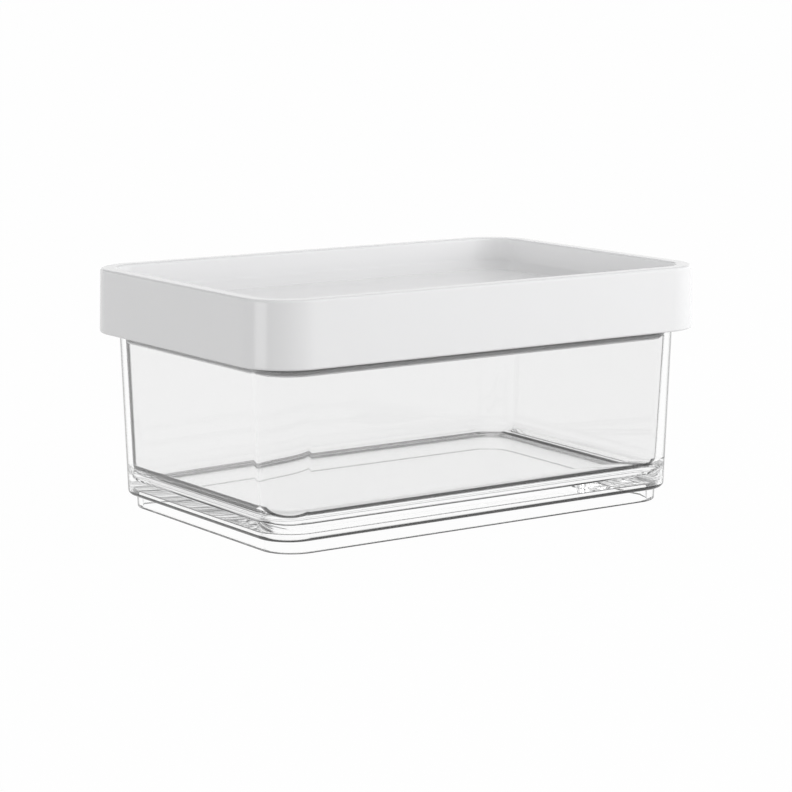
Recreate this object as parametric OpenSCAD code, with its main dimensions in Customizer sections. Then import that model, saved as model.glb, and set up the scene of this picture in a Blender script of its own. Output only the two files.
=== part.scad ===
// Clear storage box with a deep stacking lid and a seal ring, in millimetres.
// Origin: centre of the foot on the ground. +X is the long side, the front is -Y, +Z is up.

/* [Container] */
// Length at the rim
body_w = 188.2; // [160:0.2:240]
// Width at the rim
body_d = 122.6; // [105:0.2:170]
// Height of the rim above the ground
body_h = 77.8; // [60:0.2:140]
// Outer corner radius at the rim
body_r = 16.3; // [15:0.1:20]
// Wall thickness at the rim
wall_t = 2.4; // [2:0.1:3]
// Draft of the outer walls in degrees
body_draft = 2.1; // [1:0.1:2.4]
// Draft of the inner walls in degrees, which thickens them downwards
inner_draft = 3; // [2.4:0.1:3.2]
// Floor thickness
floor_t = 2.5; // [2:0.1:3.5]
// Fillet between the inner walls and the floor
floor_fillet = 8; // [2:0.5:9]
// Rounding of the lower outer edge
heel_round = 2; // [1:0.1:2.4]

/* [Foot] */
// Height of the foot ring, up to the step under the walls
foot_h = 4.8; // [3:0.1:8]
// Corner radius of the foot at the ground
foot_r = 12.85; // [11:0.05:15]
// Wall thickness of the foot ring
foot_t = 2.8; // [2:0.1:4]
// Draft of the foot ring in degrees
foot_draft = 3; // [1:0.5:5]
// Rise of the hollow under the floor above the step
hollow_rise = 2.5; // [1:0.1:3]

/* [Lid] */
// Overhang of the skirt past the rim at each end
overhang_x = 5.9; // [5.5:0.1:8]
// Overhang of the skirt past the rim at each side
overhang_y = 6.2; // [5.8:0.1:8]
// Height of the skirt
lid_h = 24.3; // [20:0.1:30]
// Outer corner radius at the lower edge of the skirt
lid_r = 19.5; // [18:0.1:22]
// Wall thickness of the skirt and of the tray wall
skin_t = 2; // [1.6:0.1:2.2]
// Draft of the skirt in degrees
lid_draft = 1.5; // [0.5:0.1:2]
// Rounding of the outer top edge
lid_round = 1.1; // [0.8:0.1:2]

/* [Stacking tray] */
// Depth of the tray below the top edge
tray_depth = 12.5; // [10:0.1:16]
// Width of the lid's outer border, from the lower edge of the skirt to the foot of the tray wall
border_w = 7.1; // [6.9:0.1:7.5]
// Width of the sloping edge of the tray floor
slope_w = 3.9; // [3.5:0.1:4.6]
// Height of the sloping edge of the tray floor
slope_h = 3.5; // [2.5:0.1:4.5]
// Fillet between the tray wall and the sloping edge
slope_round = 1.8; // [0.5:0.1:1.8]
// Thickness of the tray floor
panel_t = 2.2; // [1.8:0.1:3]
// Clearance between a stacked foot and the tray slope at each end
stack_gap_x = 0.5; // [0.3:0.05:2.5]
// Clearance between a stacked foot and the tray slope at each side
stack_gap_y = 0.4; // [0.3:0.05:2.5]

/* [Plug and seal] */
// Clearance between the rim and its seat in the lid
seat_gap = 0.3; // [0.2:0.05:0.6]
// Depth of the seat below the tray floor's top
seat_drop = 1; // [0.8:0.1:1.4]
// Length of the plug below the seat
plug_len = 14.7; // [12:0.1:20]
// Wall thickness of the plug
plug_t = 2; // [1.8:0.1:2.6]
// Clearance between the plug's lower end and the inner wall
plug_gap = 1.3; // [1:0.05:1.6]
// Land of the plug below the seal
plug_land = 0.6; // [0.4:0.1:1.5]
// Height of the seal ring
seal_h = 4.2; // [3.6:0.1:6]
// Depth of the seal's groove in the plug
groove_d = 0.8; // [0.4:0.1:1]
// Clearance between the seal's lips and the inner wall
seal_gap = 0.35; // [0.3:0.05:0.6]

/* [Hidden] */
// Depth by which two solids of one piece run into each other
lap = 0.2;
// Levels of the container
hollow_z = foot_h + hollow_rise;
floor_z = hollow_z + floor_t;
// Levels of the lid, from its seat on the rim
seat_z = body_h + seat_gap;
panel_z = seat_z + seat_drop;
under_z = panel_z - panel_t;
top_z = panel_z + tray_depth;
skirt_z = top_z - lid_h;
web_z = top_z - skin_t;
plug_z = seat_z - plug_len;
groove_z = plug_z + plug_land;
// Corner centres of the container, which the plug and the seal share
body_x = body_w / 2 - body_r;
body_y = body_d / 2 - body_r;
// Corner centres of the lid
lid_x = body_w / 2 + overhang_x - lid_r;
lid_y = body_d / 2 + overhang_y - lid_r;
// Radii of the lid about its own corner centres
tray_r = lid_r - border_w;
panel_r = tray_r - slope_w;
brim_r = tray_r + 0.3;
web_r = tray_r + skin_t + 0.1;
// Corner centres of the foot, which drops into the tray of the box below
foot_x = lid_x + panel_r - stack_gap_x - foot_r;
foot_y = lid_y + panel_r - stack_gap_y - foot_r;
// Radius of the plug about the container's corner centres
plug_r = inner_r(plug_z) - plug_gap;

function outer_r(z) = body_r - (body_h - z) * tan(body_draft);
function inner_r(z) = body_r - wall_t - (body_h - z) * tan(inner_draft);
function skirt_r(z) = lid_r - (z - skirt_z) * tan(lid_draft);
function unit(v) = v / norm(v);
function flat(p) = [p[0], p[1]];
function before(pts, i) = unit(flat(pts[(i + len(pts) - 1) % len(pts)]) - flat(pts[i]));
function after(pts, i) = unit(flat(pts[(i + 1) % len(pts)]) - flat(pts[i]));
function turn(pts, i) = cross(after(pts, i), before(pts, i));

// Piece between corner i of an outline and the arc that rounds it
module corner_piece(pts, i) {
    p = flat(pts[i]);
    r = pts[i][2];
    u = before(pts, i);
    v = after(pts, i);
    half = acos(u * v) / 2;
    reach = r / tan(half);
    centre = p + unit(u + v) * r / sin(half);
    difference() {
        polygon([p, p + u * reach, centre, p + v * reach]);
        translate(centre) circle(r, $fn = 64);
    }
}

// Outline of [distance, height, rounding] corners, listed anticlockwise
module outline(pts) {
    difference() {
        union() {
            polygon([for (p = pts) flat(p)]);
            for (i = [0 : len(pts) - 1])
                if (pts[i][2] > 0 && turn(pts, i) < 0) corner_piece(pts, i);
        }
        for (i = [0 : len(pts) - 1])
            if (pts[i][2] > 0 && turn(pts, i) > 0) corner_piece(pts, i);
    }
}

// Carries an outline round a rectangle with corner centres at (+-x, +-y)
module sweep(x, y) {
    for (sx = [0, 1], sy = [0, 1]) mirror([sx, 0, 0]) mirror([0, sy, 0])
        translate([x, y, 0]) rotate_extrude(angle = 90, $fn = 96) children();
    for (sx = [0, 1]) mirror([sx, 0, 0])
        translate([x, y, 0]) rotate([90, 0, 0]) linear_extrude(2 * y) children();
    for (sy = [0, 1]) mirror([0, sy, 0])
        translate([-x, y, 0]) rotate([90, 0, 90]) linear_extrude(2 * x) children();
}

// Block between the corner centres, which fills the middle of a swept plate
module core(x, y, z0, z1) {
    translate([-x, -y, z0]) cube([2 * x, 2 * y, z1 - z0]);
}

module container() {
    color("gainsboro", 0.35) difference() {
        union() {
            sweep(body_x, body_y) outline([
                [0, foot_h, 0],
                [outer_r(foot_h), foot_h, heel_round],
                [body_r, body_h, 0.8],
                [body_r - wall_t, body_h, 0.8],
                [inner_r(floor_z), floor_z, floor_fillet],
                [0, floor_z, 0]
            ]);
            core(body_x, body_y, foot_h, floor_z);
            sweep(foot_x, foot_y) outline([
                [foot_r - foot_t, 0, 0.5],
                [foot_r, 0, 0.5],
                [foot_r + (foot_h + lap) * tan(foot_draft), foot_h + lap, 0],
                [foot_r - foot_t, foot_h + lap, 0]
            ]);
        }
        sweep(foot_x, foot_y)
            polygon([[0, foot_h - lap], [foot_r - foot_t, foot_h - lap], [foot_r - foot_t, hollow_z], [0, hollow_z]]);
        core(foot_x, foot_y, foot_h - lap, hollow_z);
    }
}

module lid() {
    color("white") {
        sweep(lid_x, lid_y) outline([
            [0, seat_z, 0],
            [web_r, seat_z, 0.5],
            [web_r + 0.3, web_z, 0],
            [skirt_r(web_z) - skin_t, web_z, 0],
            [lid_r - skin_t, skirt_z, 0.4],
            [lid_r, skirt_z, 0.8],
            [skirt_r(top_z), top_z, lid_round],
            [brim_r, top_z, 1],
            [tray_r, panel_z + slope_h, slope_round],
            [panel_r, panel_z, 1.5],
            [0, panel_z, 0]
        ]);
        core(lid_x, lid_y, seat_z, panel_z);
        sweep(body_x, body_y) outline([
            [0, under_z, 0],
            [plug_r - plug_t, under_z, 0.8],
            [plug_r - plug_t, plug_z, 0.3],
            [plug_r, plug_z, 0.3],
            [plug_r, groove_z, 0],
            [plug_r - groove_d, groove_z, 0],
            [plug_r - groove_d, groove_z + seal_h, 0],
            [plug_r, groove_z + seal_h, 0],
            [plug_r, seat_z + lap, 0],
            [0, seat_z + lap, 0]
        ]);
        core(body_x, body_y, under_z, seat_z + lap);
    }
}

module seal_ring() {
    back_r = plug_r - groove_d;
    face_r = plug_r + 0.15;
    low_z = groove_z + seal_h * 0.12;
    high_z = groove_z + seal_h * 0.62;
    lip_t = seal_h * 0.2;
    color("darkgray") sweep(body_x, body_y) outline([
        [back_r, groove_z, 0],
        [face_r, groove_z, 0],
        [inner_r(low_z) - seal_gap, low_z, 0.25],
        [inner_r(low_z) - seal_gap, low_z + lip_t, 0.25],
        [face_r, low_z + lip_t * 1.4, 0.2],
        [face_r, high_z - lip_t * 0.4, 0.2],
        [inner_r(high_z) - seal_gap, high_z, 0.25],
        [inner_r(high_z) - seal_gap, high_z + lip_t, 0.25],
        [face_r, groove_z + seal_h, 0],
        [back_r, groove_z + seal_h, 0]
    ]);
}

container();
lid();
seal_ring();
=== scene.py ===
"""A clear stacking storage box with a deep white lid and a grey seal ring."""

import math

import bmesh
import bpy
from bpy.props import FloatProperty, FloatVectorProperty, PointerProperty
from mathutils import Matrix, Vector


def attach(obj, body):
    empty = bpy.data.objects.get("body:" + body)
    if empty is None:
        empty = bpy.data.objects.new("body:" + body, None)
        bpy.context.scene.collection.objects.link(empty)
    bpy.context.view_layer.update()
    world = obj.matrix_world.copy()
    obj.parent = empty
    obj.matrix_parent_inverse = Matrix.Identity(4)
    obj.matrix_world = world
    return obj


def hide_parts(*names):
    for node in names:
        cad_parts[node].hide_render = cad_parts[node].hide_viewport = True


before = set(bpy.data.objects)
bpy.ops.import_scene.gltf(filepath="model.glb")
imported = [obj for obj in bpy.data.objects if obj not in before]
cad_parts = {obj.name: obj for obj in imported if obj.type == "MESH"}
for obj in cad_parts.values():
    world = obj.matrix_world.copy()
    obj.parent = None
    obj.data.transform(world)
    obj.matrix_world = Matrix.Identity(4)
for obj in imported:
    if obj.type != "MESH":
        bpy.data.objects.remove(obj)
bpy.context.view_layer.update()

bl_info = {
    "name": "Stacking Storage Box",
    "version": (1, 0, 0),
    "blender": (4, 5, 0),
    "location": "View3D > Sidebar > Storage Box",
    "description": "Models a clear storage box with a stacking lid, a seal ring and a studio",
    "category": "Object",
}

MM = 0.001


# Kinds of property

def length(name, description, millimetres):
    """A size, given in millimetres and kept in metres."""
    return FloatProperty(name=name, description=description, default=millimetres * MM,
                         precision=5, unit="LENGTH")


def slant(name, description, degrees):
    """An angle, given in degrees."""
    return FloatProperty(name=name, description=description, default=math.radians(degrees),
                         subtype="ANGLE")


def share(name, description, value):
    """A number from 0 to 1."""
    return FloatProperty(name=name, description=description, default=value, min=0, max=1,
                         subtype="FACTOR")


def number(name, description, value):
    """A number without a unit."""
    return FloatProperty(name=name, description=description, default=value)


def power(name, description, watts):
    """The power of a lamp."""
    return FloatProperty(name=name, description=description, default=watts, unit="POWER")


def span(name, description, low, high):
    """Two Fresnel shares, between which the dark tint sets in."""
    return FloatVectorProperty(name=name, description=description, default=(low, high), size=2,
                               min=0, max=1, precision=4)


def spot(name, description, place):
    """A place, in metres."""
    return FloatVectorProperty(name=name, description=description, default=place,
                               subtype="TRANSLATION")


def paint(name, description, value):
    """A colour."""
    return FloatVectorProperty(name=name, description=description, default=value, size=3,
                               min=0, max=1, subtype="COLOR")


# Sizes and colours

class ContainerSettings(bpy.types.PropertyGroup):
    """Sizes and finish of the clear container."""
    corner_x: length("Corner centre X", "Distance of the corner centres from the middle", 77.8)
    corner_y: length("Corner centre Y", "Distance of the corner centres from the middle", 45.0)
    rim_r: length("Rim radius", "Outer corner radius at the rim", 16.3)
    rim_z: length("Rim height", "Height of the rim above the ground", 77.8)
    rim_round: length("Rim rounding", "Rounding of both edges of the rim", 0.8)
    wall: length("Wall", "Wall thickness at the rim", 2.4)
    outer_draft: slant("Outer draft", "Slope of the outer walls", 2.1)
    inner_draft: slant("Inner draft", "Slope of the inner walls", 3.0)
    floor_z: length("Floor height", "Height of the floor's top", 9.8)
    floor_fillet: length("Floor fillet", "Fillet between the inner walls and the floor", 8.0)
    heel_round: length("Heel rounding", "Rounding of the lower outer edge", 2.0)
    foot_x: length("Foot centre X", "Distance of the foot's corner centres from the middle", 75.65)
    foot_y: length("Foot centre Y", "Distance of the foot's corner centres from the middle", 43.25)
    foot_r: length("Foot radius", "Corner radius of the foot at the ground", 12.85)
    foot_z: length("Foot height", "Height of the step between the foot and the walls", 4.8)
    foot_wall: length("Foot wall", "Thickness of the foot ring", 2.8)
    foot_draft: slant("Foot draft", "Slope of the foot's outer face", 3.0)
    foot_round: length("Foot rounding", "Rounding of the edges of the foot and the hollow", 0.5)
    hollow_z: length("Hollow height", "Height of the underside of the floor", 7.3)
    middle_r: length("Middle radius", "Corner radius of the floor's plain middle faces", 3.0)
    ior: number("IOR", "Refraction of the clear plastic", 1.49)
    trapped: number("Trapped", "Bounces after which light goes straight on", 14)
    tint: paint("Tint", "Colour of the clear plastic", (0.99, 0.99, 0.99))
    # Painted shade: the inner surfaces of the clear plastic are painted greyer than the outer ones
    inner_painted_shade: paint("Inner tint", "Colour of the surfaces round the inside", (0.87, 0.87, 0.87))
    # Painted shade: the colour of the dark lines painted on the clear plastic's roundings, inner corners and
    # outside
    painted_edge_shade: paint("Edge tint", "Colour of light at the dark edges", (0.005, 0.005, 0.005))
    # The spans below set, by Fresnel share, where the painted dark lines of the clear plastic begin
    heel_span: span("Heel", "Where light that enters an outer rounding gets dark", 0.041, 0.05)
    floor_span: span("Floor", "Where light that enters the floor's fillet gets dark", 0.1, 0.12)
    leave_span: span("Leave", "Where light that leaves by a rounding gets dark", 0.06, 0.075)
    long_span: span("Long half", "Where the inner corners get dark by the long walls", 0.06, 0.075)
    end_span: span("End half", "Where the inner corners get dark by the end walls instead", 0.16, 0.19)
    outline_span: span("Outline", "Where light that skims the outside gets dark", 0.12, 0.3)
    outline_share: share("Outline share", "Strength of the tint on the outside", 0.9)
    haze_size: length("Haze size", "Size of the patches of haze", 1.5)
    haze: share("Haze", "Roughness where the haze is thickest", 0.012)
    wave_size: length("Wave size", "Size of the flow waves", 40)
    wave_depth: length("Wave depth", "Depth of the flow waves", 0.5)
    wave_share: share("Wave share", "How strongly the flow waves show", 0.02)


class LidSettings(bpy.types.PropertyGroup):
    """Sizes and finish of the white lid."""
    corner_x: length("Corner centre X", "Distance of the corner centres from the middle", 80.5)
    corner_y: length("Corner centre Y", "Distance of the corner centres from the middle", 48.0)
    skirt_r: length("Skirt radius", "Outer corner radius at the lower edge", 19.5)
    skirt_z: length("Skirt height", "Height of the lower edge above the ground", 67.3)
    top_z: length("Top height", "Height of the top edge above the ground", 91.6)
    skin: length("Skin", "Thickness of the skirt and of the border", 2.0)
    draft: slant("Draft", "Slope of the skirt", 1.5)
    top_round: length("Top rounding", "Rounding of the outer top edge", 1.1)
    brim_round: length("Brim rounding", "Rounding of the inner top edge", 1.0)
    hem_round: length("Hem rounding", "Outer rounding of the skirt's lower edge", 0.8)
    lining_round: length("Lining rounding", "Inner rounding of the skirt's lower edge", 0.4)
    web_round: length("Web rounding", "Rounding of the edges under the border", 0.6)
    web_extra: length("Web extra", "How much thicker the tray wall is than the skirt", 0.1)
    tray_r: length("Tray radius", "Corner radius at the foot of the tray wall", 12.4)
    tray_flare: length("Tray flare", "How far the tray wall leans out at the top", 0.3)
    slope_w: length("Slope width", "Width of the sloping edge of the tray floor", 3.9)
    slope_h: length("Slope height", "Height of the sloping edge of the tray floor", 3.5)
    slope_round: length("Slope rounding", "Fillet between the tray wall and the slope", 1.8)
    panel_z: length("Panel height", "Height of the tray floor's top", 79.1)
    panel_round: length("Panel rounding", "Rounding between the slope and the tray floor", 1.5)
    under_z: length("Underside height", "Height of the tray floor's underside", 76.9)
    under_round: length("Underside rounding", "Rounding between the plug and the underside", 0.8)
    seat_z: length("Seat height", "Height of the seat above the rim", 78.1)
    seat_w: length("Seat width", "Width of the seat's outer strip", 3.5)
    seat_round: length("Seat rounding", "Rounding of the seat's outer edge", 0.5)
    plug_r: length("Plug radius", "Outer corner radius of the plug", 11.845)
    plug_z: length("Plug height", "Height of the plug's lower end", 63.4)
    plug_wall: length("Plug wall", "Thickness of the plug", 2.0)
    plug_round: length("Plug rounding", "Rounding of the plug's lower edges", 0.3)
    groove_z: length("Groove height", "Height of the seal groove's lower side", 64.0)
    groove_depth: length("Groove depth", "Depth of the seal groove", 0.8)
    middle_r: length("Middle radius", "Corner radius of the tray floor's plain middle faces", 2.0)
    ior: number("IOR", "Refraction of the white plastic", 1.46)
    colour: paint("Colour", "Colour of the white plastic", (0.86, 0.86, 0.865))
    roughness: share("Roughness", "Roughness where the plastic is smoothest", 0.13)
    mottle_size: length("Mottle size", "Size of the faint mottle", 18)
    mottle_shade: share("Mottle shade", "Darkest tone of the mottle, as a share of the colour", 0.985)
    mottle_roughness: share("Mottle roughness", "What the mottle adds to the roughness", 0.06)
    grain_size: length("Grain size", "Size of the moulded grain", 0.35)
    grain_depth: length("Grain depth", "Depth of the moulded grain", 0.05)
    grain_share: share("Grain share", "How strongly the moulded grain shows", 0.06)
    grain_roughness: share("Grain roughness", "What the grain adds to the roughness", 0.05)


class SealSettings(bpy.types.PropertyGroup):
    """Sizes and finish of the seal ring."""
    height: length("Height", "Height of the ring", 4.2)
    proud: length("Proud", "How far the band between the lips stands out of the plug", 0.15)
    band_round: length("Band rounding", "Rounding between the lips and the band", 0.2)
    lip: length("Lip", "Thickness of each lip at its tip", 0.84)
    lip_round: length("Lip rounding", "Rounding of the lips", 0.25)
    low_lip: share("Low lip", "Place of the lower lip on the ring's height", 0.12)
    high_lip: share("High lip", "Place of the upper lip on the ring's height", 0.62)
    flank: share("Flank", "Height of a lip's flank, as a share of its thickness", 0.4)
    gap: length("Gap", "Clearance between the lips and the container", 0.35)
    ior: number("IOR", "Refraction of the rubber", 1.41)
    colour: paint("Colour", "Colour of the rubber", (0.36, 0.36, 0.365))
    roughness: share("Roughness", "Roughness where the rubber is cleanest", 0.5)
    dust_size: length("Dust size", "Size of the dusty patches", 3)
    dust_dark: number("Dust dark", "Share of the colour where the rubber is cleanest", 0.93)
    dust_light: number("Dust light", "Share of the colour where it is dustiest", 1.05)
    dust_roughness: share("Dust roughness", "What the dust adds to the roughness", 0.15)
    grain_size: length("Grain size", "Size of the rubber's grain", 0.2)
    grain_depth: length("Grain depth", "Depth of the rubber's grain", 0.05)
    grain_share: share("Grain share", "How strongly the rubber's grain shows", 0.15)


class StageSettings(bpy.types.PropertyGroup):
    """Camera and studio."""
    camera_place: spot("Camera place", "Where the camera stands", (-0.5518, -0.7956, 0.2044))
    camera_tilt: slant("Camera tilt", "Turn of the camera from straight down", 80.428)
    camera_turn: slant("Camera turn", "Turn of the camera about the vertical", -34.704)
    lens: number("Lens", "Focal length in millimetres", 116.29)
    sensor: number("Sensor", "Width of the camera's sensor in millimetres", 36)
    near_clip: length("Near clip", "Distance at which the camera begins to see", 10)
    floor_colour: paint("Floor", "Colour of the floor", (0.6, 0.6, 0.6))
    floor_white: share("Floor white", "How much of the seen floor is plain white", 0.985)
    floor_size: length("Floor size", "Side of the floor", 40000)
    floor_drop: length("Floor drop", "Distance of the floor below the foot", 0.3)
    horizon: number("Horizon", "Light from all around, low down", 1.25)
    zenith: number("Zenith", "Light from straight above", 0.43)
    dim: share("Dim", "Level of the dim zone that gloss and clear plastic show", 0.05)
    dim_low: slant("Dim zone from", "Elevation at which the dim zone begins", 15)
    dim_high: slant("Dim zone to", "Elevation at which the dim zone ends", 89)
    dim_soft: slant("Dim zone softness", "Width of the dim zone's soft edges", 5)
    aim_z: length("Aim height", "Height at which the lamps aim", 50)
    key_place: spot("Key place", "Where the key lamp stands", (0.6, -0.55, 0.42))
    key_size: length("Key size", "Side of the key lamp", 1000)
    key_power: power("Key power", "Power of the key lamp", 4.2)
    card_place: spot("Card place", "Where the bright card stands", (-0.5, -0.07, 0.045))
    card_size: length("Card size", "Side of the bright card", 200)
    card_power: power("Card power", "Power of the card's glow", 0.32)


# Outlines

ROUNDING_STEPS = 7
LIP_STEPS = 4


def rounded(corners, steps=ROUNDING_STEPS):
    """Points of an outline of (distance, height, rounding) corners, with arcs at the rounded ones."""
    points = []
    for i, (r, z, rounding) in enumerate(corners):
        corner = Vector((r, z))
        if not rounding:
            points.append(corner)
            continue
        back = (Vector(corners[i - 1][:2]) - corner).normalized()
        ahead = (Vector(corners[(i + 1) % len(corners)][:2]) - corner).normalized()
        half = back.angle(ahead) / 2
        centre = corner + (back + ahead).normalized() * rounding / math.sin(half)
        start = corner + back * rounding / math.tan(half) - centre
        turn = math.copysign(math.pi - 2 * half, back.cross(ahead))
        points += [centre + Matrix.Rotation(-turn * k / steps, 2) @ start for k in range(steps + 1)]
    return points


def outer_r(box, z):
    """Outer corner radius of the container at a height."""
    return box.rim_r - (box.rim_z - z) * math.tan(box.outer_draft)


def inner_r(box, z):
    """Inner corner radius of the container at a height."""
    return box.rim_r - box.wall - (box.rim_z - z) * math.tan(box.inner_draft)


def skirt_r(lid, z):
    """Outer corner radius of the lid at a height."""
    return lid.skirt_r - (z - lid.skirt_z) * math.tan(lid.draft)


# Modelling

CORNER_STEPS = 24
MERGE = 1e-7
PLANE_TOLERANCE = 1e-5
SHARP_ANGLE = math.radians(30)
FLAT_FACE_WEIGHT = 100


def begin(name, at):
    """Starts a piece as one vertex at a place and leaves it in edit mode."""
    bpy.ops.object.select_all(action="DESELECT")
    bpy.ops.mesh.primitive_plane_add(size=MM, location=at)
    piece = bpy.context.object
    piece.name = piece.data.name = name
    bpy.ops.object.transform_apply(location=True, rotation=True, scale=True)
    bpy.ops.object.mode_set(mode="EDIT")
    bpy.ops.mesh.select_mode(type="VERT")
    bpy.ops.mesh.select_all(action="SELECT")
    bpy.ops.mesh.merge(type="CENTER")
    return piece


def sweep(name, corner, outline):
    """Draws an outline of (distance, height) points and carries it round four corner centres."""
    x, y = corner
    (r, z), *rest = outline
    piece = begin(name, (x + r, -y, z))
    for next_r, next_z in rest:
        bpy.ops.mesh.extrude_vertices_move(
            TRANSFORM_OT_translate={"value": (next_r - r, 0, next_z - z)})
        r, z = next_r, next_z
    bpy.ops.mesh.select_all(action="SELECT")
    bpy.ops.mesh.select_mode(type="EDGE")
    sides = (((0, 2 * y, 0), (x, y, 0)), ((-2 * x, 0, 0), (-x, y, 0)),
             ((0, -2 * y, 0), (-x, -y, 0)), ((2 * x, 0, 0), (x, -y, 0)))
    for along, centre in sides:
        bpy.ops.mesh.extrude_edges_move(TRANSFORM_OT_translate={"value": along})
        bpy.ops.mesh.spin(steps=CORNER_STEPS, angle=-math.pi / 2, center=centre, axis=(0, 0, 1))
    bpy.ops.mesh.select_all(action="SELECT")
    bpy.ops.mesh.remove_doubles(threshold=MERGE)
    bpy.ops.object.mode_set(mode="OBJECT")
    return piece


def select_open_edges(piece, z):
    """Selects the open edges of a piece at a height."""
    bpy.ops.mesh.select_all(action="DESELECT")
    mesh = bmesh.from_edit_mesh(piece.data)
    for edge in mesh.edges:
        if edge.is_boundary and all(abs(v.co.z - z) < PLANE_TOLERANCE for v in edge.verts):
            edge.select_set(True)
    bmesh.update_edit_mesh(piece.data)


def moulding(name, upper, lower):
    """A closed piece of two sweeps, each given as a corner centre and an outline.

    The sweeps start in one level plane, which is filled between them, and each ends in a flat face.
    """
    piece = sweep(name, *upper)
    other = sweep(name + "_lower", *lower)
    bpy.ops.object.select_all(action="DESELECT")
    other.select_set(True)
    piece.select_set(True)
    bpy.context.view_layer.objects.active = piece
    bpy.ops.object.join()
    bpy.ops.object.mode_set(mode="EDIT")
    bpy.ops.mesh.select_mode(type="EDGE")
    select_open_edges(piece, upper[1][0].y)
    bpy.ops.mesh.mark_sharp()
    bpy.ops.mesh.fill(use_beauty=True)
    for outline in (upper[1], lower[1]):
        select_open_edges(piece, outline[-1].y)
        bpy.ops.mesh.edge_face_add()
    bpy.ops.object.mode_set(mode="OBJECT")
    return piece


def check_closed(piece):
    """Stops the script if an edge of a piece doesn't join two faces."""
    mesh = bmesh.new()
    mesh.from_mesh(piece.data)
    loose = sum(len(edge.link_faces) != 2 for edge in mesh.edges)
    mesh.free()
    if loose:
        raise RuntimeError(f"{piece.name} has {loose} edges that don't join two faces")


def finish_mesh(piece):
    """Turns all faces outwards and smooths the rounded ones, with flat faces kept flat."""
    bpy.context.view_layer.objects.active = piece
    bpy.ops.object.mode_set(mode="EDIT")
    bpy.ops.mesh.select_all(action="SELECT")
    bpy.ops.mesh.normals_make_consistent(inside=False)
    bpy.ops.object.mode_set(mode="OBJECT")
    check_closed(piece)
    bpy.ops.object.shade_smooth_by_angle(angle=SHARP_ANGLE)
    weigh = piece.modifiers.new("Flat faces", "WEIGHTED_NORMAL")
    weigh.keep_sharp = True
    weigh.weight = FLAT_FACE_WEIGHT
    bpy.ops.object.modifier_apply(modifier=weigh.name)


def put_on(piece, body, node, material):
    """Puts a finished piece on its body in place of a CAD node."""
    piece.data.materials.clear()
    piece.data.materials.append(material)
    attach(piece, body)
    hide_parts(node)


# Shader building

# Sockets of a Mix node that mixes colours: its factor, its two colours and its result
MIX_INPUTS = (0, 6, 7)
MIX_RESULT = 2


class Value:
    """A shader socket that can be used in sums."""

    def __init__(self, shader, socket):
        self.shader = shader
        self.socket = socket

    def combine(self, operation, first, second):
        """Adds a Math node for two values or numbers."""
        return self.shader.value("ShaderNodeMath", {"operation": operation}, {0: first, 1: second})

    def __add__(self, other):
        return self.combine("ADD", self, other)

    __radd__ = __add__

    def __sub__(self, other):
        return self.combine("SUBTRACT", self, other)

    def __rsub__(self, other):
        return self.combine("SUBTRACT", other, self)

    def __mul__(self, other):
        return self.combine("MULTIPLY", self, other)

    __rmul__ = __mul__

    def __lt__(self, other):
        return self.combine("LESS_THAN", self, other)

    def __gt__(self, other):
        return self.combine("GREATER_THAN", self, other)

    def larger(self, other):
        """The larger of two values."""
        return self.combine("MAXIMUM", self, other)

    def size(self):
        """The value without its sign."""
        return self.larger(0.0 - self)

    def root(self):
        """Square root."""
        return self.combine("POWER", self, 0.5)


class Shader:
    """Builds the nodes of a material or a world."""

    def __init__(self, owner):
        owner.use_nodes = True
        self.tree = owner.node_tree
        self.tree.nodes.clear()

    def add(self, kind, settings=None, sockets=None):
        """Adds a node with its settings and the values or links of its sockets."""
        node = self.tree.nodes.new(kind)
        for name, value in (settings or {}).items():
            setattr(node, name, value)
        for key, value in (sockets or {}).items():
            if isinstance(value, Value):
                self.tree.links.new(value.socket, node.inputs[key])
            else:
                node.inputs[key].default_value = value
        return node

    def value(self, kind, settings=None, sockets=None, output=0):
        """Adds a node and returns one of its outputs."""
        return Value(self, self.add(kind, settings, sockets).outputs[output])

    def object_place(self):
        """The place on the object, in metres."""
        return self.value("ShaderNodeTexCoord", output="Object")

    def part(self, vector, axis):
        """One part of a vector."""
        return self.value("ShaderNodeSeparateXYZ", None, {0: vector}, axis)

    def vector(self, operation, *vectors):
        """Works on vectors with a Vector Math node."""
        return self.value("ShaderNodeVectorMath", {"operation": operation}, dict(enumerate(vectors)))

    def noise(self, place, grain, detail):
        """Noise from 0 to 1 whose grain is a size in metres."""
        return self.value("ShaderNodeTexNoise", None, {
            "Vector": place, "Scale": 1 / grain, "Detail": detail}, "Fac")

    def tone(self, factor, first, second):
        """A colour between two, by a factor."""
        colours = (colour if isinstance(colour, Value) else (*colour, 1) for colour in (first, second))
        sockets = dict(zip(MIX_INPUTS, (factor, *colours)))
        return self.value("ShaderNodeMix", {"data_type": "RGBA"}, sockets, MIX_RESULT)

    def smooth_step(self, value, low, high):
        """0 below a low value and 1 above a high one, with a soft change between them."""
        return self.value("ShaderNodeMapRange", {"interpolation_type": "SMOOTHSTEP"}, {
            "Value": value, "From Min": low, "From Max": high})

    def bump(self, height, strength, distance):
        """A normal that shows a height."""
        return self.value("ShaderNodeBump", None, {
            "Height": height, "Strength": strength, "Distance": distance}, "Normal")

    def mixed(self, factor, first, second):
        """A shader between two, by a factor."""
        return self.value("ShaderNodeMixShader", None, {0: factor, 1: first, 2: second})

    def output(self, kind, surface):
        """Links a shader to the output of a material or a world."""
        self.add(f"ShaderNodeOutput{kind}", None, {"Surface": surface})


def new_material(name):
    """A new material and what builds its nodes."""
    material = bpy.data.materials.new(name)
    return material, Shader(material)


def shaded(colour, factor):
    """A colour made darker or lighter."""
    return tuple(min(1.0, c * factor) for c in colour)


# Materials

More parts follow.
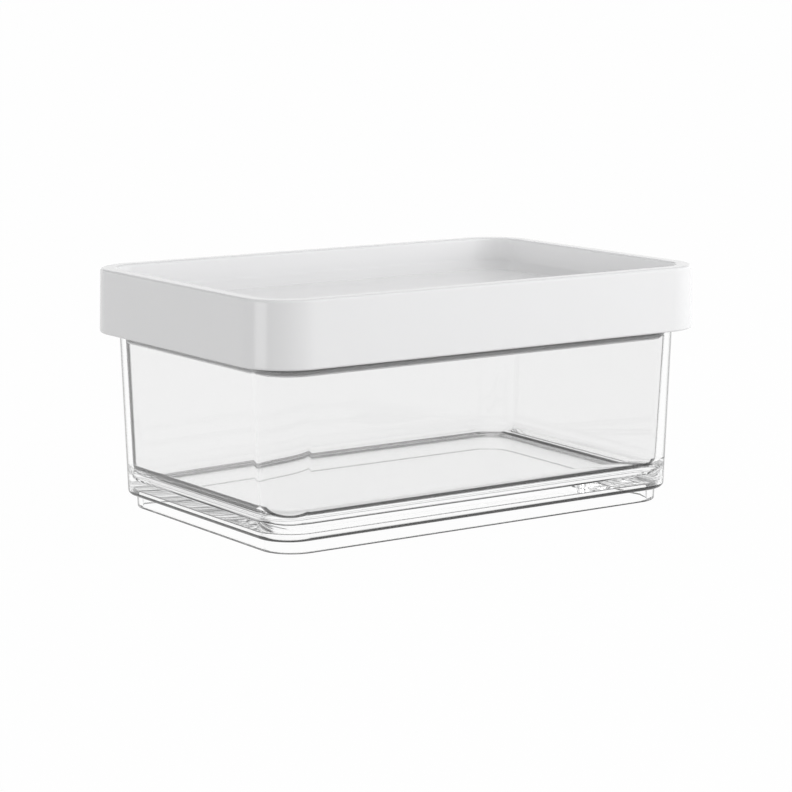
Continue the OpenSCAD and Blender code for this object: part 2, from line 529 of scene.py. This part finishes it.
# Slopes on the container, from 0 on an upright face to 1 on a level one, that place the painted dark lines
ROUNDING_BEGINS = (0.07, 0.12)
ROUNDING_ENDS = (0.94, 0.97)
CORNER_ENDS = (0.3, 0.5)
FLOOR_EDGE_BEGINS = (0.72, 0.78)
# X and Y parts of the way out from a corner's centre, as shares of its length
ARC_MARGIN = 0.1
END_HALF = 0.67


def container_zones(shader, place, box):
    """Masks of the inside of the container, its corners, and the corners' halves by the end walls."""
    mirrored = shader.vector("ABSOLUTE", place)
    offset = shader.vector("SUBTRACT", mirrored, (box.corner_x, box.corner_y, 0))
    outwards = shader.vector("MAXIMUM", offset, (0, 0, 0))
    x, y, z = (shader.part(outwards, axis) for axis in "XYZ")
    reach = (x * x + y * y).root()
    middle_r = (outer_r(box, 0) + inner_r(box, 0)) / 2
    widening = (math.tan(box.outer_draft) + math.tan(box.inner_draft)) / 2
    inside = (reach < middle_r + z * widening) * (z > (box.floor_z + box.hollow_z) / 2)
    corner = inside * (x > reach * ARC_MARGIN) * (y > reach * ARC_MARGIN)
    return inside, corner, y < reach * END_HALF


def painted_edge_share(shader, zones, box):
    """1 where painted shade draws a dark line on a rounding, an inner corner or the outside of the clear
    plastic.
    """
    inside, corner, end_half = zones
    fresnel = shader.value("ShaderNodeFresnel", None, {"IOR": box.ior})
    heel, floor, leave, long_side, end_side, outline = (
        shader.smooth_step(fresnel, *limits) for limits in (
            box.heel_span, box.floor_span, box.leave_span,
            box.long_span, box.end_span, box.outline_span))
    leaving = shader.value("ShaderNodeNewGeometry", output="Backfacing")
    entering = 1.0 - leaving
    normal = shader.value("ShaderNodeNewGeometry", output="Normal")
    slope = shader.part(normal, "Z").size()
    rounding = shader.smooth_step(slope, *ROUNDING_BEGINS) - shader.smooth_step(slope, *ROUNDING_ENDS)
    floor_edge = floor * shader.smooth_step(slope, *FLOOR_EDGE_BEGINS)
    entered = heel + inside * (floor_edge - heel)
    edges = rounding * (entering * entered + leaving * leave)
    halves = end_half * end_side + (1.0 - end_half) * (long_side - end_side)
    upright = corner * halves * (1.0 - shader.smooth_step(slope, *CORNER_ENDS)) * entering
    skimmed = outline * (1.0 - inside) * entering * box.outline_share
    return edges.larger(upright).larger(skimmed)


def clear_plastic(box):
    """Polished clear plastic with faint flow waves and fine haze, with painted dark lines on its roundings,
    inner corners and outside, and painted shade on its inner surfaces.
    """
    material, shader = new_material("clear_plastic")
    place = shader.object_place()
    waves = shader.noise(place, box.wave_size, detail=1)
    haze = shader.noise(place, box.haze_size, detail=3)
    zones = container_zones(shader, place, box)
    # Painted shade: the surfaces round the inside get the greyer colour
    clear = shader.tone(zones[0], box.tint, box.inner_painted_shade)
    surface = shader.value("ShaderNodeBsdfPrincipled", None, {
        # Painted shade: dark lines painted on the roundings, inner corners and outside
        "Base Color": shader.tone(painted_edge_share(shader, zones, box), clear, box.painted_edge_shade),
        "Roughness": haze * box.haze,
        "Normal": shader.bump(waves, box.wave_share, box.wave_depth),
        "IOR": box.ior,
        "Transmission Weight": 1.0,
    })
    trapped = shader.value("ShaderNodeLightPath", output="Ray Depth") > box.trapped
    way_out = shader.value("ShaderNodeBsdfTransparent")
    shader.output("Material", shader.mixed(trapped, surface, way_out))
    return material


def white_plastic(lid):
    """Satin white plastic with a fine moulded grain."""
    material, shader = new_material("white_plastic")
    place = shader.object_place()
    mottle = shader.noise(place, lid.mottle_size, detail=3)
    grain = shader.noise(place, lid.grain_size, detail=2)
    surface = shader.value("ShaderNodeBsdfPrincipled", None, {
        "Base Color": shader.tone(mottle, shaded(lid.colour, lid.mottle_shade), lid.colour),
        "Roughness": lid.roughness + mottle * lid.mottle_roughness + grain * lid.grain_roughness,
        "Normal": shader.bump(grain, lid.grain_share, lid.grain_depth),
        "IOR": lid.ior,
    })
    shader.output("Material", surface)
    return material


def grey_rubber(seal):
    """Matt grey rubber with a dusty grain."""
    material, shader = new_material("grey_rubber")
    place = shader.object_place()
    dust = shader.noise(place, seal.dust_size, detail=4)
    grain = shader.noise(place, seal.grain_size, detail=2)
    clean, dusty = (shaded(seal.colour, factor) for factor in (seal.dust_dark, seal.dust_light))
    surface = shader.value("ShaderNodeBsdfPrincipled", None, {
        "Base Color": shader.tone(dust, clean, dusty),
        "Roughness": seal.roughness + dust * seal.dust_roughness,
        "Normal": shader.bump(grain, seal.grain_share, seal.grain_depth),
        "IOR": seal.ior,
    })
    shader.output("Material", surface)
    return material


# Pieces and stage

# Bounces that light needs to cross all the walls of the clear plastic
ALL_BOUNCES = 32
CLEAR_BOUNCES = 24


class StorageOperator:
    """What the operators share."""
    bl_options = {"REGISTER", "UNDO"}


class STORAGE_OT_container(StorageOperator, bpy.types.Operator):
    """Model the clear container with its recessed foot"""
    bl_idname = "storage_box.container"
    bl_label = "Container"

    def execute(self, context):
        box = context.scene.storage_container
        heel_r = outer_r(box, box.foot_z)
        step_r = heel_r - box.heel_round
        walls = rounded([
            (step_r, box.foot_z, 0),
            (heel_r, box.foot_z, box.heel_round),
            (box.rim_r, box.rim_z, box.rim_round),
            (box.rim_r - box.wall, box.rim_z, box.rim_round),
            (inner_r(box, box.floor_z), box.floor_z, box.floor_fillet),
            (box.middle_r, box.floor_z, 0),
        ])
        ring_r = box.foot_r - box.foot_wall
        foot = rounded([
            (box.foot_r + box.foot_z * math.tan(box.foot_draft), box.foot_z, 0),
            (box.foot_r, 0, box.foot_round),
            (ring_r, 0, box.foot_round),
            (ring_r, box.hollow_z, box.foot_round),
            (box.middle_r, box.hollow_z, 0),
        ])
        piece = moulding("clear_container", ((box.corner_x, box.corner_y), walls),
                         ((box.foot_x, box.foot_y), foot))
        finish_mesh(piece)
        put_on(piece, "container", "container", clear_plastic(box))
        piece.visible_shadow = False
        return {"FINISHED"}


class STORAGE_OT_lid(StorageOperator, bpy.types.Operator):
    """Model the white lid with its stacking tray and its plug"""
    bl_idname = "storage_box.lid"
    bl_label = "Lid"

    def execute(self, context):
        lid = context.scene.storage_lid
        box = context.scene.storage_container
        seal = context.scene.storage_seal
        web_r = lid.tray_r + lid.skin + lid.web_extra
        web_z = lid.top_z - lid.skin
        shell = rounded([
            (web_r - lid.seat_w, lid.seat_z, 0),
            (web_r, lid.seat_z, lid.seat_round),
            (web_r + lid.tray_flare, web_z, lid.web_round),
            (skirt_r(lid, web_z) - lid.skin, web_z, lid.web_round),
            (lid.skirt_r - lid.skin, lid.skirt_z, lid.lining_round),
            (lid.skirt_r, lid.skirt_z, lid.hem_round),
            (skirt_r(lid, lid.top_z), lid.top_z, lid.top_round),
            (lid.tray_r + lid.tray_flare, lid.top_z, lid.brim_round),
            (lid.tray_r, lid.panel_z + lid.slope_h, lid.slope_round),
            (lid.tray_r - lid.slope_w, lid.panel_z, lid.panel_round),
            (lid.middle_r, lid.panel_z, 0),
        ])
        groove_r = lid.plug_r - lid.groove_depth
        groove_top_z = lid.groove_z + seal.height
        inside_r = lid.plug_r - lid.plug_wall
        plug = rounded([
            (lid.plug_r, lid.seat_z, 0),
            (lid.plug_r, groove_top_z, 0),
            (groove_r, groove_top_z, 0),
            (groove_r, lid.groove_z, 0),
            (lid.plug_r, lid.groove_z, 0),
            (lid.plug_r, lid.plug_z, lid.plug_round),
            (inside_r, lid.plug_z, lid.plug_round),
            (inside_r, lid.under_z, lid.under_round),
            (lid.middle_r, lid.under_z, 0),
        ])
        piece = moulding("stacking_lid", ((lid.corner_x, lid.corner_y), shell),
                         ((box.corner_x, box.corner_y), plug))
        finish_mesh(piece)
        put_on(piece, "lid", "lid", white_plastic(lid))
        return {"FINISHED"}


class STORAGE_OT_seal(StorageOperator, bpy.types.Operator):
    """Model the seal ring with its two lips"""
    bl_idname = "storage_box.seal"
    bl_label = "Seal ring"

    def execute(self, context):
        lid = context.scene.storage_lid
        box = context.scene.storage_container
        seal = context.scene.storage_seal
        back_r = lid.plug_r - lid.groove_depth
        face_r = lid.plug_r + seal.proud
        top_z = lid.groove_z + seal.height
        low_z = lid.groove_z + seal.height * seal.low_lip
        high_z = lid.groove_z + seal.height * seal.high_lip
        flank = seal.lip * seal.flank
        outline = rounded([
            (back_r, lid.groove_z, 0),
            (face_r, lid.groove_z, 0),
            *self.lip_tip(box, seal, low_z),
            (face_r, low_z + seal.lip + flank, seal.band_round),
            (face_r, high_z - flank, seal.band_round),
            *self.lip_tip(box, seal, high_z),
            (face_r, top_z, 0),
            (back_r, top_z, 0),
        ], LIP_STEPS)
        piece = sweep("lip_seal", (box.corner_x, box.corner_y), outline + outline[:1])
        finish_mesh(piece)
        put_on(piece, "lid", "seal_ring", grey_rubber(seal))
        return {"FINISHED"}

    def lip_tip(self, box, seal, z):
        """The two corners at the tip of a lip that begins at a height."""
        tip_r = inner_r(box, z) - seal.gap
        return [(tip_r, z, seal.lip_round), (tip_r, z + seal.lip, seal.lip_round)]


class STORAGE_OT_stage(StorageOperator, bpy.types.Operator):
    """Set up the floor, the light and the camera"""
    bl_idname = "storage_box.stage"
    bl_label = "Stage"

    def execute(self, context):
        scene = context.scene
        stage = scene.storage_stage
        self.make_floor(stage)
        self.make_world(scene, stage)
        key = self.make_lamp("key_lamp", stage.key_place, stage.key_size, stage.key_power, stage.aim_z)
        key.visible_glossy = key.visible_transmission = False
        card = self.make_lamp("gloss_card", stage.card_place, stage.card_size, stage.card_power, stage.aim_z)
        card.visible_camera = card.visible_diffuse = card.visible_transmission = False
        self.make_camera(scene, stage)
        scene.view_settings.view_transform = "Standard"
        scene.cycles.max_bounces = ALL_BOUNCES
        scene.cycles.glossy_bounces = CLEAR_BOUNCES
        scene.cycles.transmission_bounces = CLEAR_BOUNCES
        scene.cycles.transparent_max_bounces = CLEAR_BOUNCES
        return {"FINISHED"}

    def seen_rays(self, shader):
        """1 for rays that show a background: those of the camera, of gloss and of clear plastic."""
        camera, gloss, clear = (shader.value("ShaderNodeLightPath", output=f"Is {kind} Ray")
                                for kind in ("Camera", "Glossy", "Transmission"))
        return camera.larger(gloss).larger(clear)

    def make_floor(self, stage):
        """A plain floor that looks white and keeps a trace of shadow."""
        bpy.ops.object.select_all(action="DESELECT")
        bpy.ops.mesh.primitive_plane_add(size=stage.floor_size, location=(0, 0, -stage.floor_drop))
        floor = bpy.context.object
        floor.name = "studio_floor"
        material, shader = new_material("studio_floor")
        diffuse = shader.value("ShaderNodeBsdfDiffuse", None, {"Color": (*stage.floor_colour, 1)})
        white = shader.value("ShaderNodeEmission", None, {"Strength": 1.0})
        seen = self.seen_rays(shader) * stage.floor_white
        shader.output("Material", shader.mixed(seen, diffuse, white))
        material.cycles.emission_sampling = "NONE"
        floor.data.materials.append(material)

    def make_world(self, scene, stage):
        """Soft light from all around, with another level for what is seen of it."""
        world = bpy.data.worlds.new("studio_world")
        scene.world = world
        shader = Shader(world)
        ray = shader.value("ShaderNodeTexCoord", output="Generated")
        rise = shader.part(ray, "Z")
        light = stage.horizon + rise * (stage.zenith - stage.horizon)
        seen = self.seen_rays(shader)
        level = seen * self.seen_level(shader, rise, stage) + (1.0 - seen) * light
        shader.output("World", shader.value("ShaderNodeBackground", None, {
            "Color": (1, 1, 1, 1), "Strength": level}))

    def seen_level(self, shader, rise, stage):
        """White at the horizon and straight up, with a dim zone between them all round."""
        soft = stage.dim_soft
        into = shader.smooth_step(rise, math.sin(stage.dim_low), math.sin(stage.dim_low + soft))
        out_of = shader.smooth_step(rise, math.sin(stage.dim_high - soft), math.sin(stage.dim_high))
        return 1.0 - (into - out_of) * (1.0 - stage.dim)

    def make_lamp(self, name, at, size, watts, aim_z):
        """A square lamp that aims at the middle of the box."""
        bpy.ops.object.light_add(type="AREA", location=at)
        lamp = bpy.context.object
        lamp.name = name
        lamp.data.size = size
        lamp.data.energy = watts
        aim = Vector((0, 0, aim_z)) - Vector(at)
        lamp.rotation_euler = aim.to_track_quat("-Z", "Y").to_euler()
        return lamp

    def make_camera(self, scene, stage):
        """A camera at the photograph's viewing angle."""
        bpy.ops.object.camera_add(location=stage.camera_place,
                                  rotation=(stage.camera_tilt, 0, stage.camera_turn))
        camera = bpy.context.object
        camera.name = "photo_camera"
        camera.data.sensor_width = stage.sensor
        camera.data.lens = stage.lens
        camera.data.clip_start = stage.near_clip
        scene.camera = camera


class STORAGE_PT_panel(bpy.types.Panel):
    """Sidebar panel that lists the pieces"""
    bl_idname = "STORAGE_PT_panel"
    bl_label = "Storage Box"
    bl_space_type = "VIEW_3D"
    bl_region_type = "UI"
    bl_category = "Storage Box"

    def draw(self, context):
        for operator in OPERATORS:
            self.layout.operator(operator.bl_idname)


# Registering and running

SETTINGS = {
    "storage_container": ContainerSettings,
    "storage_lid": LidSettings,
    "storage_seal": SealSettings,
    "storage_stage": StageSettings,
}
OPERATORS = (STORAGE_OT_container, STORAGE_OT_lid, STORAGE_OT_seal, STORAGE_OT_stage)


def register():
    for cls in (*SETTINGS.values(), *OPERATORS, STORAGE_PT_panel):
        bpy.utils.register_class(cls)
    for name, cls in SETTINGS.items():
        setattr(bpy.types.Scene, name, PointerProperty(type=cls))


def unregister():
    for name in SETTINGS:
        delattr(bpy.types.Scene, name)
    for cls in (STORAGE_PT_panel, *OPERATORS, *SETTINGS.values()):
        bpy.utils.unregister_class(cls)


def main():
    register()
    bpy.ops.storage_box.container()
    bpy.ops.storage_box.lid()
    bpy.ops.storage_box.seal()
    bpy.ops.storage_box.stage()


if __name__ == "__main__":
    main()
